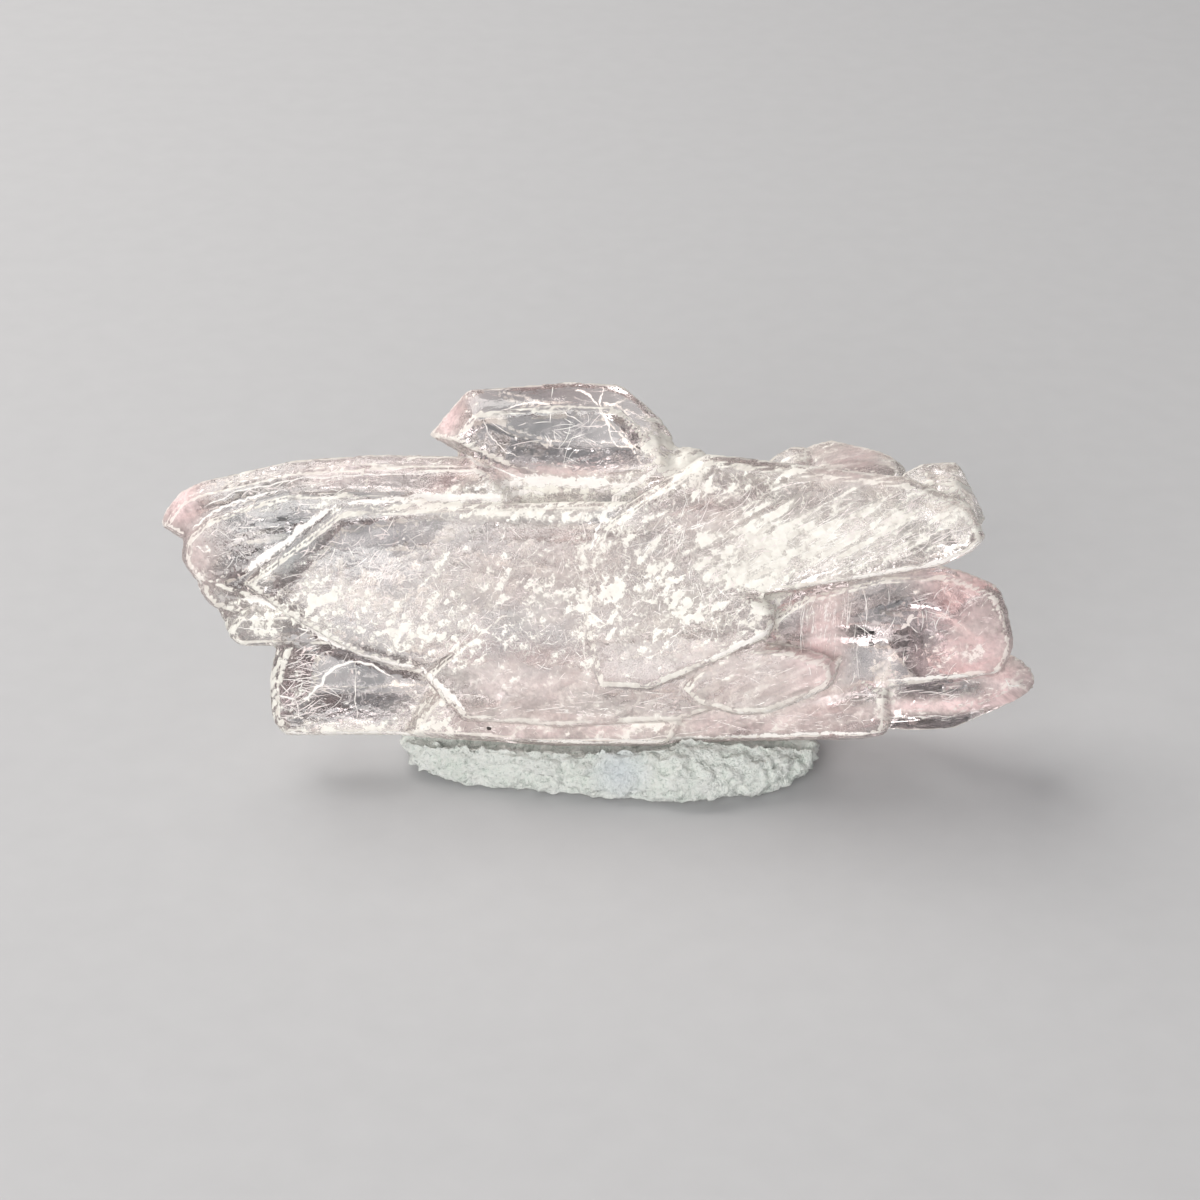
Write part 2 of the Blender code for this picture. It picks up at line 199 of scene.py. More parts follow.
# Smoky tone: the stone's own grey in most patches, but on the clear windows (top_window, left_window,
# lower_window, window_left) a painted shade standing for a dark backdrop seen through the stone
SMOKY_AND_BACKDROP_SHADE = {
    "top_window": (-3.2, 15.9, 2.6, 1.2, 0, 0.9),
    "left_window": (-16.6, 10.6, 2.2, 1.7, 30, 0.9),
    "middle_top": (-8.5, 10.8, 3.5, 1.0, 0, 0.6),
    "left_band": (-12.5, 13.0, 2.6, 0.5, 3, 0.5),
    "lower_window": (-12.4, 2.6, 1.8, 2.0, 0, 0.7),
    "window_left": (-16.0, 2.6, 1.2, 1.8, 0, 0.5),
    "middle_left": (-12.6, 9.8, 2.6, 1.8, 0, 0.5),
    "middle": (-4.5, 6.0, 2.6, 1.8, 0, 0.5),
    "under_saddle": (0.2, 12.2, 1.4, 0.4, 10, 0.7),
    "block": (14.6, 6.4, 2.0, 1.7, -20, 0.85),
    "block_left": (9.2, 6.4, 0.9, 1.4, 0, 0.5),
    "block_foot": (12.6, 4.2, 1.0, 1.4, 0, 0.5),
    "tip_top": (16.6, 2.9, 2.8, 0.4, 0, 1.3),
    "tip_foot": (16.4, 0.8, 2.4, 0.35, 5, 1.2),
    "blade_shade": (2.2, 10.6, 2.2, 1.6, 0, 0.35),
    "crest": (11.5, 13.6, 1.8, 0.4, 0, 0.4),
}

# How each field is spread over the stone: (its patches, noise scale, how much the noise breaks it, how much
# of it is there anyway to be broken, how much more of it walls have; on frost and milk that is a painted
# glow, white standing for light shining through the walls)
FIELDS = {
    "frost": (FROSTED, 0.75, 0.55, 0.1, 0.3),
    "pink": (PINK, 0.45, 0.5, 0.1, 0),
    "smoky": (SMOKY_AND_BACKDROP_SHADE, 0.6, 0.9, 0.1, 0),
    "milk": (MILKY, 0.5, 0.5, 0.0, 0.45),
    "brush": (BRUSHED, 0.5, 0.3, 0.0, 0),
}
FIELD_SHIFT = 0.01  # each field's noise is read this much further off, so no two are alike

# Bright marks: (how deep under the front surface, width, places on the board)
MARKS = {
    "top_crack": (0.1, 0.15, [(-0.3, 17.9), (-0.45, 17.5), (-0.5, 17.1), (-0.3, 16.7), (-0.1, 16.3),
                              (0.05, 15.6), (0.5, 15.0)]),
    "top_crack_left": (0.1, 0.12, [(-0.5, 17.1), (-1.2, 17.7), (-1.8, 17.8)]),
    "top_crack_right": (0.1, 0.12, [(-0.45, 17.3), (0.2, 17.2), (0.9, 17.4)]),
    "top_thread": (0.2, 0.07, [(-6.2, 16.6), (-5.9, 15.8), (-5.2, 15.0), (-4.4, 14.6)]),
    "top_arc": (0.2, 0.08, [(-5.6, 16.9), (-3.8, 17.3), (-2.2, 16.9), (-1.0, 16.0)]),
    "top_edge": (-0.02, 0.14, [(-8.6, 15.3), (-7.2, 14.7), (-5.0, 13.8), (-2.5, 13.2), (0.5, 13.0)]),
    "left_growth": (-0.02, 0.2, [(-20.7, 11.1), (-19.7, 11.9), (-18.6, 12.4), (-17.6, 12.75),
                                 (-16.2, 13.1)]),
    "left_growth_upper": (-0.02, 0.1, [(-20.4, 12.0), (-18.3, 13.0), (-15.0, 13.7), (-11.4, 13.9),
                                       (-8.6, 14.0)]),
    "left_hairs": (-0.02, 0.06, [(-11.6, 14.6), (-10.8, 14.2), (-10.0, 14.2)]),
    "left_line_upper": (-0.02, 0.08, [(-18.9, 6.6), (-17.6, 6.5), (-16.6, 6.6)]),
    "left_line_lower": (-0.02, 0.06, [(-18.8, 6.1), (-17.2, 6.0), (-16.0, 6.1)]),
    "left_lens": (-0.02, 0.5, [(-18.4, 7.6), (-17.4, 7.5), (-16.6, 7.0)]),
    "white_lens": (-0.02, 0.9, [(-15.2, 6.2), (-14.0, 5.6), (-12.6, 4.9)]),
    "middle_slant": (-0.025, 0.5, [(-18.4, 8.9), (-16.8, 10.0), (-15.0, 11.4), (-13.4, 12.5)]),
    "middle_top": (-0.025, 0.4, [(-13.4, 12.5), (-10.0, 12.75), (-6.0, 12.8), (-3.0, 12.8)]),
    "middle_foot": (-0.025, 0.34, [(-15.6, 6.1), (-13.0, 5.1), (-11.6, 4.6), (-9.5, 4.3)]),
    "saddle_lens": (-0.02, 0.7, [(-7.2, 13.3), (-3.0, 13.4), (1.2, 13.2)]),
    "middle_line": (0.05, 0.2, [(-1.3, 11.2), (-1.35, 9.4), (-1.1, 7.6), (-1.3, 5.6), (-1.1, 3.6)]),
    "middle_bar": (-0.025, 0.45, [(-9.5, 4.4), (-8.4, 3.4), (-7.2, 2.2)]),
    "blade_left": (-0.02, 0.3, [(-1.0, 10.2), (-0.6, 11.4), (-0.1, 12.4), (1.2, 13.2), (3.0, 14.5),
                                (5.0, 15.6)]),
    # blade_foot, lobe_foot, tongue_foot, block_foot, window_foot and base_rim are white lines along the lower
    # rims, a painted glow standing for light carried along them
    "blade_foot": (-0.025, 0.34, [(18.5, 11.5), (17.4, 10.6), (15.5, 9.9), (13.0, 9.3), (10.5, 8.8),
                                  (8.4, 8.1)]),
    "lobe_foot": (-0.025, 0.34, [(8.3, 7.6), (8.2, 6.8), (7.3, 6.1), (5.6, 5.3), (4.2, 4.7)]),
    "tongue_foot": (-0.025, 0.3, [(11.3, 4.7), (11.3, 3.9), (10.6, 3.3), (9.0, 2.5), (7.2, 2.0),
                                  (5.0, 2.2)]),
    "tongue_line": (0.1, 0.07, [(7.5, 4.0), (9.0, 4.0), (10.6, 3.8)]),
    "block_fleck": (0.05, 0.3, [(14.5, 6.0), (14.8, 6.3), (15.1, 6.8)]),
    "block_foot": (-0.025, 0.26, [(13.8, 3.3), (16.0, 3.45), (18.5, 3.5), (19.8, 3.7)]),
    "tip_line": (-0.02, 0.08, [(13.8, 1.3), (16.0, 1.2), (18.4, 1.3)]),
    "tip_ridge": (-0.02, 0.1, [(19.9, 3.2), (20.3, 2.8), (21.4, 2.8)]),
    "window_line": (0.2, 0.06, [(-12.8, 4.6), (-12.8, 2.6), (-12.8, 0.6)]),
    "window_wave": (-0.02, 0.2, [(-16.9, 2.6), (-15.6, 2.2), (-14.6, 3.0), (-13.6, 4.0), (-12.0, 4.0),
                                 (-10.6, 3.0)]),
    "window_foot": (-0.025, 0.4, [(-17.0, 0.6), (-15.0, 0.35), (-12.0, 0.35), (-9.0, 0.35)]),
    "base_rim": (-0.025, 0.3, [(-9.0, 0.35), (-5.0, 0.2), (-1.0, 0.15), (3.0, 0.2), (7.0, 0.4),
                               (11.0, 0.6), (14.0, 0.6)]),
    "base_line": (-0.02, 0.07, [(-5.0, 1.4), (-2.0, 1.1), (1.5, 1.2)]),
    "base_line_lower": (-0.02, 0.08, [(-7.0, 0.5), (-3.0, 0.3), (2.0, 0.4), (5.0, 0.7)]),
}

# Healed cracks inside the stone: (u, v, w, width, height, turn about w, lean about u, lean about v), the last
# three in degrees
VEILS = (
    (-13.0, 9.0, 0.4, 7.0, 4.0, 20, 15, -10),
    (-8.0, 7.0, 0.8, 8.0, 5.0, -35, -10, 15),
    (-3.0, 9.0, 1.2, 7.0, 6.0, 70, 12, 30),
    (1.0, 6.0, 1.0, 7.0, 5.0, 30, -20, -15),
    (5.0, 10.0, 2.0, 8.0, 4.5, 35, 10, 12),
    (11.0, 11.5, 2.0, 9.0, 3.5, 20, -8, 5),
    (8.0, 7.0, 1.4, 5.0, 4.0, -30, 20, 10),
    (14.0, 6.0, 0.2, 6.0, 4.5, 80, 10, 35),
    (17.5, 6.5, 0.0, 4.5, 3.5, -20, -15, 10),
    (-18.0, 10.5, -0.2, 5.0, 4.0, 15, 5, -12),
    (-4.0, 3.0, 0.2, 9.0, 3.5, 0, 10, 8),
    (5.0, 2.5, 0.6, 8.0, 3.0, 5, -12, 0),
    (-6.5, 10.5, -1.0, 8.0, 3.5, 10, 5, 6),
    (2.0, 8.0, -2.5, 10.0, 5.0, 15, -5, 0),
    (10.0, 4.0, -2.0, 7.0, 4.0, -10, 6, 10),
    (-12.5, 2.6, 0.2, 4.0, 2.6, 10, 10, 8),
    (-2.2, 15.6, -0.2, 4.0, 2.2, 30, 10, 15),
)
VEIL_GRID = (44, 30)
VEIL_TORN, VEIL_TORN_FINE = 0.35, 2.5  # how ragged its outline is, and how finely
VEIL_FADE = 1.6  # how steeply it fades towards its outline
VEIL_FAINTEST = 0.01
VEIL_WAVE, VEIL_WAVE_FINE = 0.5, 0.35

# Bright flakes inside the stone, within these spans of u, v and w
FLAKES = 3000
FLAKE_SIZE = (0.04, 0.17)
FLAKE_SPANS = ((-22, 21), (0, 18), (-3.0, 3.4))
FLAKE_CORNERS, FLAKE_UNEVEN = 5, 0.3
FLAKE_LONG, FLAKE_WIDE = (0.4, 1.6), (0.3, 0.8)  # times its size
FLAKE_TILT = 0.5
FLAKE_SEED = 11
FLAKES_ANYWHERE = 0.02
FLAKES_IN_MILK = 0.3

# Fine bright scratches and fibres: (u, v, reach along u, reach along v, how many, direction, its spread,
# length)
SCRATCHES = (
    (10.5, 11.4, 7.0, 2.2, 420, 28, 12, 1.3),
    (3.0, 11.0, 3.5, 2.5, 160, 48, 25, 1.2),
    (4.5, 7.5, 3.5, 2.2, 160, 60, 50, 0.8),
    (-4.5, 7.5, 5.5, 4.0, 420, 40, 70, 0.7),
    (-12.0, 8.5, 4.5, 3.0, 260, 35, 40, 0.7),
    (-17.0, 10.5, 3.5, 2.5, 110, 20, 30, 0.8),
    (-13.0, 13.6, 6.0, 1.0, 90, 6, 18, 1.0),
    (-15.6, 3.0, 1.8, 2.6, 130, 15, 22, 0.9),
    (-2.5, 16.2, 3.6, 1.6, 40, 30, 60, 1.1),
    (-3.0, 1.6, 7.0, 1.4, 120, -2, 8, 1.6),
    (7.5, 1.4, 6.0, 1.2, 90, 4, 10, 1.4),
    (7.5, 3.8, 3.2, 1.4, 50, 14, 14, 1.0),
    (10.8, 5.8, 1.6, 2.4, 130, 88, 6, 1.6),
    (16.0, 6.0, 3.2, 2.6, 110, 35, 45, 0.8),
    (17.0, 2.0, 3.5, 1.4, 60, 3, 10, 1.0),
)
SCRATCH_WIDTH = (0.018, 0.05)
SCRATCH_REACH = (0.3, 1.5)  # times its group's length
SCRATCH_SCATTER = 0.5
SCRATCH_BEND = 0.5
SCRATCH_POINTS = 6
SCRATCH_LEAP = 2.5  # a fibre ends where the next place is further off than this many of its stretches
SCRATCH_SEED = 5

MARK_PIECES = 12  # along each stretch between two of a mark's places
MARK_PIECES_ACROSS = 4
MARK_AHEAD = 0.02  # its direction at a place is judged over this part of it to each side
MARK_TORN, MARK_TORN_FINE = 0.6, 2.2
MARK_WANDER, MARK_WANDER_FINE = 0.12, 3.0
CLEAR_OF_STONE = 9  # so far in front of the board, or behind it, nothing is in the way

SPECK = (-6.1, 0.95)  # a dark grain on the base
SPECK_RADIUS = 0.11 * MM
SPECK_WIDE, SPECK_DEEP = 1.2, 0.5
SPECK_LUMPS, SPECK_LUMPS_FINE = 0.5, 7

# Low relief on the stone: its heights in millimetres, and its lumps to the millimetre
STEP_HEIGHT, STEP_SCALE = 0.09, 0.45
STEP_COUNT = 9
STEP_STRETCH = (0.35, 1, 1)
ROLL_HEIGHT, ROLL_SCALE = 0.012, 0.7
PIT_CLEAR, PIT_FROSTED, PIT_SCALE = 0.004, 0.03, 3.1
CHIP_DEPTH, CHIP_SCALE = 0.13, 2.3
STONE_SUNK = 0.04  # keeps the relief within the node's own shape

# Relief on the putty, in the same way
LUMP_HEIGHT, LUMP_SCALE = 0.3, 1.8
SWELL_HEIGHT, SWELL_SCALE = 0.16, 0.6
FOLD_HEIGHT, FOLD_SCALE = 0.2, 1.1
FOLD_STRETCH = (1.0, 0.6, 2.2)
PUTTY_SUNK = 0.24
FLAT_FOOT = 0.3 * MM  # the relief fades out below this height

# On the putty: a bluish spot on its front, a painted reflection of bluish light, and a crease across the
# front, from one (x, z) to the other
PAINTED_REFLECTION_SPOT = (0.5 * MM, -4.3 * MM, 1.8 * MM)
PAINTED_REFLECTION_HEART = 0.4 * MM
PAINTED_REFLECTION_REACH = 1.8 * MM
CREASE = ((-5.4, 1.7), (-1.6, 0.3))
CREASE_DEPTH = 0.4
CREASE_WIDTH = 0.3
CREASE_WANDER = 0.25
CREASE_FADE = 1.3

# The see-through stone
CLEAR_TINT = (0.99, 0.965, 0.96)
ROSE_TINT = (0.98, 0.74, 0.75)
# the smoky tint is kept dark partly as painted shade for a dark backdrop seen through the windows
SMOKY_AND_BACKDROP_SHADE_TINT = (0.36, 0.375, 0.385)
FROSTED_TINT = (0.99, 0.975, 0.965)
QUARTZ_IOR = 1.544
STONE_GLOW = (0.97, 0.80, 0.83, 1)  # the colour that is left as light goes through
STONE_DENSITY = 22.0
POLISHED, FROSTY = 0.03, 0.45  # roughness
STONE_BUMP = 0.08 * MM

# The milky haze on it, and the crisp white over that
HAZE_DARK = (0.50, 0.46, 0.43)
HAZE_LIGHT = (0.82, 0.78, 0.72)
HAZE_CRACKLED = (0.38, 0.34, 0.33)
HAZE_SILKY = (0.89, 0.865, 0.79)
HAZE_ROSE = (0.95, 0.725, 0.715)
# the smoky haze is partly the stone's grey and partly painted shade for a dark backdrop seen through
HAZE_SMOKY_AND_BACKDROP_SHADE = (0.44, 0.45, 0.455)
WHITE_SHADED = (0.76, 0.72, 0.66)
WHITE_BRIGHT = (0.97, 0.95, 0.88)
WHITE_ROSE = (0.96, 0.79, 0.775)

VEIL_ROSE, VEIL_WHITE = (0.93, 0.84, 0.86), (1.0, 0.99, 0.97)
LINE_ROSE, LINE_WHITE = (0.97, 0.90, 0.87), (1.0, 0.99, 0.95)
FLAKE_ROSE, FLAKE_WHITE = (0.90, 0.80, 0.79), (1.0, 0.98, 0.94)
SPECK_BLACK, SPECK_BROWN = (0.01, 0.008, 0.008), (0.07, 0.05, 0.045)
PUTTY_GREEN, PUTTY_PALE = (0.88, 0.95, 0.88), (0.98, 1.0, 0.97)
PUTTY_GRAIN = (0.98, 1.0, 0.95)
PUTTY_PIT = (0.44, 0.50, 0.45)
# the next colour but one is a painted reflection of bluish light on the putty's front
PUTTY_PAINTED_REFLECTION = (0.80, 0.86, 0.91)
PUTTY_BUMP = 0.3 * MM
FLOOR_DARK, FLOOR_LIGHT = (0.54, 0.54, 0.55), (0.58, 0.58, 0.59)

# How fine each marking is, in lumps to the metre, and which way it runs on the board, in degrees from u
SPECKLE_FINE = 3200
STREAK_FINE, STREAK_SLANT, STREAK_STRETCH = 3000, 27, 8.0
CURL_FINE, CURL_WIDTH = 1300, 0.03
THREAD_FINE, THREAD_WIDTH, THREAD_TWIST = 420, 0.012, 1.6
CRACK_FINE, CRACK_WIDTH, CRACK_BEND = 480, 0.03, 0.9 * MM
CHIP_FINE, CHIP_SLANT, CHIP_STRETCH, CHIP_SHAKE = 3900, 42, 2.2, 0.3 * MM
FLAKE_FINE = 900
SPECK_FINE = 5000
PUTTY_LUMP_FINE, PUTTY_GRAIN_FINE = 900, 3800
FLOOR_FINE = 500

# Softboxes: (size, power, place, colour)
SOFTBOXES = {
    "window": ((0.30, 0.22), 1.1, (-0.18, 0.14, 0.30), (1.0, 0.975, 0.94)),
    "front": ((0.35, 0.25), 1.47, (-0.10, -0.39, 0.15), (1.0, 0.985, 0.965)),
}
LIT_PLACE = Vector((0, 0, 0.01))
SKY = (0.25, 0.25, 0.255, 1)
FLOOR_SIZE = 3.0


# ---------------------------------------------------------------- places and fields

def board_to_world():
    upright = Matrix.Rotation(math.radians(90), 4, "X")
    lean = Matrix.Rotation(-LEAN, 4, "X")
    return Matrix.Scale(MM, 4) @ Matrix.Translation((0, -FOOT_FORWARD, FOOT_HEIGHT)) @ lean @ upright


BOARD = board_to_world()
TO_BOARD = BOARD.inverted()
TOWARDS = (BOARD.to_3x3() @ Vector((0, 0, 1))).normalized()  # out of the board, to the viewer
DRAWING = Euler((math.radians(50), 0, math.radians(-35)))  # a plane that no face of the stone is square to


def read(parts, field, width=1):
    """One field of a mesh's vertices, edges or faces as an array, a row each."""
    flat = np.empty(len(parts) * width, dtype=int if field == "vertices" else float)
    parts.foreach_get(field, flat)
    return flat.reshape(-1, width) if width > 1 else flat


def move_to(mesh, places, box):
    """Puts a mesh's vertices at places, none of them outside the box."""
    mesh.vertices.foreach_set("co", np.clip(places, box[0], box[1]).ravel())
    mesh.update()


def on_board(places):
    turn = np.array(TO_BOARD)
    return places @ turn[:3, :3].T + turn[:3, 3]


def patches_at(patches, u, v):
    total = np.zeros_like(np.asarray(u, dtype=float))
    for at_u, at_v, half_length, half_width, turn, strength in patches.values():
        cos, sin = math.cos(math.radians(turn)), math.sin(math.radians(turn))
        along = ((u - at_u) * cos + (v - at_v) * sin) / half_length
        across = ((v - at_v) * cos - (u - at_u) * sin) / half_width
        total += strength * np.exp(-along ** 2 - across ** 2)
    return np.minimum(total, 1.0)


def noise_at(places, scale, octaves=1):
    """Smooth noise at places in metres, its lumps one millimetre over scale wide."""
    spots = [Vector(place) for place in places / MM * scale]
    if octaves == 1:
        return np.array([noise.noise(spot) for spot in spots])
    return np.array([noise.fractal(spot, NOISE_FALL, NOISE_GAP, octaves) for spot in spots])


def ridges(mesh):
    """How far each vertex stands proud of its neighbours, in metres. It is below zero in a crease."""
    places = read(mesh.vertices, "co", 3)
    ends = read(mesh.edges, "vertices", 2)
    around = np.zeros_like(places)
    count = np.zeros(len(places))
    for near, far in (ends.T, ends.T[::-1]):
        np.add.at(around, near, places[far])
        np.add.at(count, near, 1)
    proud = places - around / np.maximum(count, 1)[:, None]
    return (proud * read(mesh.vertices, "normal", 3)).sum(axis=1)


# ---------------------------------------------------------------- modelling

def only(obj):
    """Makes obj the one thing selected."""
    for other in bpy.context.view_layer.objects:
        other.select_set(False)
    obj.select_set(True)
    bpy.context.view_layer.objects.active = obj


def apply(obj, kind, **settings):
    only(obj)
    modifier = obj.modifiers.new(kind, kind)
    for key, value in settings.items():
        setattr(modifier, key, value)
    bpy.ops.object.modifier_apply(modifier=modifier.name)


def copy_of(source, name):
    made = bpy.data.objects.new(name, source.data.copy())
    made.data.name = name
    made.data.materials.clear()
    bpy.context.scene.collection.objects.link(made)
    return made


def even_copy(node, name, grid):
    """A node's shape on an even mesh, its points laid back on the node's own faces."""
    made = copy_of(frame["nodes"][node], name)
    only(made)
    bpy.ops.object.mode_set(mode="EDIT")
    bpy.ops.mesh.select_all(action="SELECT")
    bpy.ops.mesh.remove_doubles(threshold=1e-7)
    bpy.ops.object.mode_set(mode="OBJECT")
    apply(made, "REMESH", mode="VOXEL", voxel_size=grid)
    apply(made, "SHRINKWRAP", target=frame["nodes"][node], wrap_method="NEAREST_SURFACEPOINT")
    return made


def keep_faces(obj, keep):
    """Deletes the faces that keep leaves out."""
    only(obj)
    bpy.ops.object.mode_set(mode="EDIT")
    bpy.ops.mesh.select_mode(type="FACE")
    bpy.ops.mesh.select_all(action="DESELECT")
    bpy.ops.object.mode_set(mode="OBJECT")
    obj.data.polygons.foreach_set("select", ~keep)
    bpy.ops.object.mode_set(mode="EDIT")
    bpy.ops.mesh.delete(type="FACE")
    bpy.ops.object.mode_set(mode="OBJECT")


def join(objects, name):
    only(objects[0])
    for obj in objects:
        obj.select_set(True)
    bpy.ops.object.join()
    objects[0].name = objects[0].data.name = name
    return objects[0]


def from_faces(name, corners, faces, look):
    mesh = bpy.data.meshes.new(name)
    mesh.from_pydata(corners, [], faces)
    mesh.materials.append(look)
    made = bpy.data.objects.new(name, mesh)
    bpy.context.scene.collection.objects.link(made)
    return made


def inside(surface, place):
    """Whether a place is within a closed shape, from how often a line up from it meets the surface."""
    hits = 0
    start = Vector(place)
    up = Vector((0.01, 0.02, 1)).normalized()  # a little off upright, so that it runs along no wall
    while True:
        hit = surface.ray_cast(start, up)[0]
        if hit is None:
            return hits % 2 == 1
        hits += 1
        start = hit + up * 1e-6


# ---------------------------------------------------------------- materials

def add(tree, kind, inputs=None, **settings):
    """A node with its settings, its input values and what is plugged into it."""
    made = tree.nodes.new(kind)
    for key, value in settings.items():
        setattr(made, key, value)
    for key, value in (inputs or {}).items():
        if isinstance(value, bpy.types.NodeSocket):
            tree.links.new(value, made.inputs[key])
        else:
            made.inputs[key].default_value = value
    return made


def calc(tree, operation, first, second=0.0, third=0.0):
    return add(tree, "ShaderNodeMath", {0: first, 1: second, 2: third}, operation=operation).outputs[0]


def ranged(tree, value, low, high, to_low=0.0, to_high=1.0):
    return add(tree, "ShaderNodeMapRange", {"Value": value, "From Min": low, "From Max": high,
                                            "To Min": to_low, "To Max": to_high}).outputs[0]


def mixed(tree, factor, first, second):
    first, second = (end if isinstance(end, bpy.types.NodeSocket) else (*end, 1) for end in (first, second))
    return add(tree, "ShaderNodeMix", {"Factor": factor, 6: first, 7: second}, data_type="RGBA").outputs[2]


def attribute(tree, name):
    return add(tree, "ShaderNodeAttribute", attribute_name=name).outputs["Fac"]


def new_material(name):
    made = bpy.data.materials.new(name)
    made.use_nodes = True
    return made, made.node_tree, made.node_tree.nodes["Principled BSDF"]


def noise_node(tree, place, fine, detail, roughness=0.5, **settings):
    return add(tree, "ShaderNodeTexNoise", {"Vector": place, "Scale": fine, "Detail": detail,
                                            "Roughness": roughness}, **settings)


def middle_lines(tree, source, width):
    """Thin lines where a noise passes its middle value."""
    away = calc(tree, "ABSOLUTE", calc(tree, "SUBTRACT", source.outputs["Fac"], 0.5))
    return ranged(tree, away, 0.0, width, 1, 0)


def moved_by(tree, place, source, reach):
    """A place that a noise's colours push about, by up to reach."""
    push = add(tree, "ShaderNodeVectorMath", {0: source.outputs["Color"], 3: reach}, operation="SCALE")
    return add(tree, "ShaderNodeVectorMath", {0: place, 1: push.outputs[0]}, operation="ADD").outputs[0]


def object_place(tree):
    return add(tree, "ShaderNodeTexCoord").outputs["Object"]


def grain_in(tree, grain_group):
    return add(tree, "ShaderNodeGroup", node_tree=grain_group).outputs


def plug(tree, shader, **sockets):
    """Links values to the shader's sockets, their names written with _ for a space."""
    for name, value in sockets.items():
        tree.links.new(value, shader.inputs[name.replace("_", " ")])


def drawn_out(tree, level, slant, stretch):
    """Turns a place on the drawing plane and stretches it along a slant of the board, in degrees from u."""
    slant = math.radians(slant)
    on_plane = DRAWING.to_matrix().inverted() @ BOARD.to_3x3()
    heading = on_plane @ Vector((math.cos(slant), math.sin(slant), 0))
    turn = (0, 0, math.atan2(heading.y, heading.x))
    return add(tree, "ShaderNodeMapping", {"Vector": level, "Rotation": turn, "Scale": (stretch, 1, 1)},
               vector_type="TEXTURE").outputs[0]


def stone_grain():
    """Group: the fine markings in and on the stone, each from 0 to 1."""
    tree = bpy.data.node_groups.new("stone grain", "ShaderNodeTree")
    for name in ("Speckle", "Streaks", "Curls", "Threads", "Cracks", "Chips"):
        tree.interface.new_socket(name, in_out="OUTPUT", socket_type="NodeSocketFloat")
    put = tree.nodes.new("NodeGroupOutput")
    place = object_place(tree)
    level = add(tree, "ShaderNodeMapping", {"Vector": place, "Rotation": DRAWING},
                vector_type="TEXTURE").outputs[0]
    speckle = noise_node(tree, level, SPECKLE_FINE, 2, 0.7, noise_dimensions="2D")
    streaks = noise_node(tree, drawn_out(tree, level, STREAK_SLANT, STREAK_STRETCH), STREAK_FINE, 1, 0.65,
                         noise_dimensions="2D")
    small = noise_node(tree, level, CURL_FINE, 2, 0.6, noise_dimensions="2D")
    large = noise_node(tree, place, THREAD_FINE, 2, 0.6)
    large.inputs["Distortion"].default_value = THREAD_TWIST
    curls = middle_lines(tree, small, CURL_WIDTH)
    threads = middle_lines(tree, large, THREAD_WIDTH)
    bent = moved_by(tree, place, large, CRACK_BEND)
    cells = add(tree, "ShaderNodeTexVoronoi", {"Vector": bent, "Scale": CRACK_FINE},
                feature="DISTANCE_TO_EDGE")
    cracks = ranged(tree, cells.outputs["Distance"], 0.0, CRACK_WIDTH, 1, 0)
    shaken = drawn_out(tree, moved_by(tree, level, speckle, CHIP_SHAKE), CHIP_SLANT, CHIP_STRETCH)
    chips = add(tree, "ShaderNodeTexVoronoi", {"Vector": shaken, "Scale": CHIP_FINE}, voronoi_dimensions="2D")
    chips = add(tree, "ShaderNodeSeparateColor", {"Color": chips.outputs["Color"]}).outputs[0]
    for name, socket in (("Speckle", speckle.outputs["Fac"]), ("Streaks", streaks.outputs["Fac"]),
                         ("Curls", curls), ("Threads", threads), ("Cracks", cracks), ("Chips", chips)):
        tree.links.new(socket, put.inputs[name])
    return tree


def quartz_look(grain_group):
    """Clear, smoky and rose stone, see-through, and rougher where it is frosted; the smoky tint is partly
    painted shade for a dark backdrop seen through the windows.
    """
    made, tree, shader = new_material("rose quartz")
    grain = grain_in(tree, grain_group)
    frost, pink, smoky = (attribute(tree, name) for name in ("frost", "pink", "smoky"))
    tint = mixed(tree, pink, CLEAR_TINT, ROSE_TINT)
    # smoky tint: partly the stone's grey, partly painted shade for a dark backdrop seen through the windows
    tint = mixed(tree, smoky, tint, SMOKY_AND_BACKDROP_SHADE_TINT)
    tint = mixed(tree, calc(tree, "MULTIPLY", frost, 0.8), tint, FROSTED_TINT)
    relief = calc(tree, "MULTIPLY", calc(tree, "ADD", grain["Speckle"], grain["Streaks"]),
                  ranged(tree, frost, 0.0, 1.0, 0.12, 1.0))
    bump = add(tree, "ShaderNodeBump", {"Strength": 0.6, "Distance": STONE_BUMP, "Height": relief})
    plug(tree, shader, Base_Color=tint, Roughness=ranged(tree, frost, 0.1, 1.0, POLISHED, FROSTY),
         Normal=bump.outputs[0])
    shader.inputs["Transmission Weight"].default_value = 1.0
    shader.inputs["IOR"].default_value = QUARTZ_IOR
    shader.inputs["Metallic"].default_value = 0.0
    absorb = add(tree, "ShaderNodeVolumeAbsorption", {"Color": STONE_GLOW, "Density": STONE_DENSITY})
    tree.links.new(absorb.outputs[0], tree.nodes["Material Output"].inputs["Volume"])
    return made


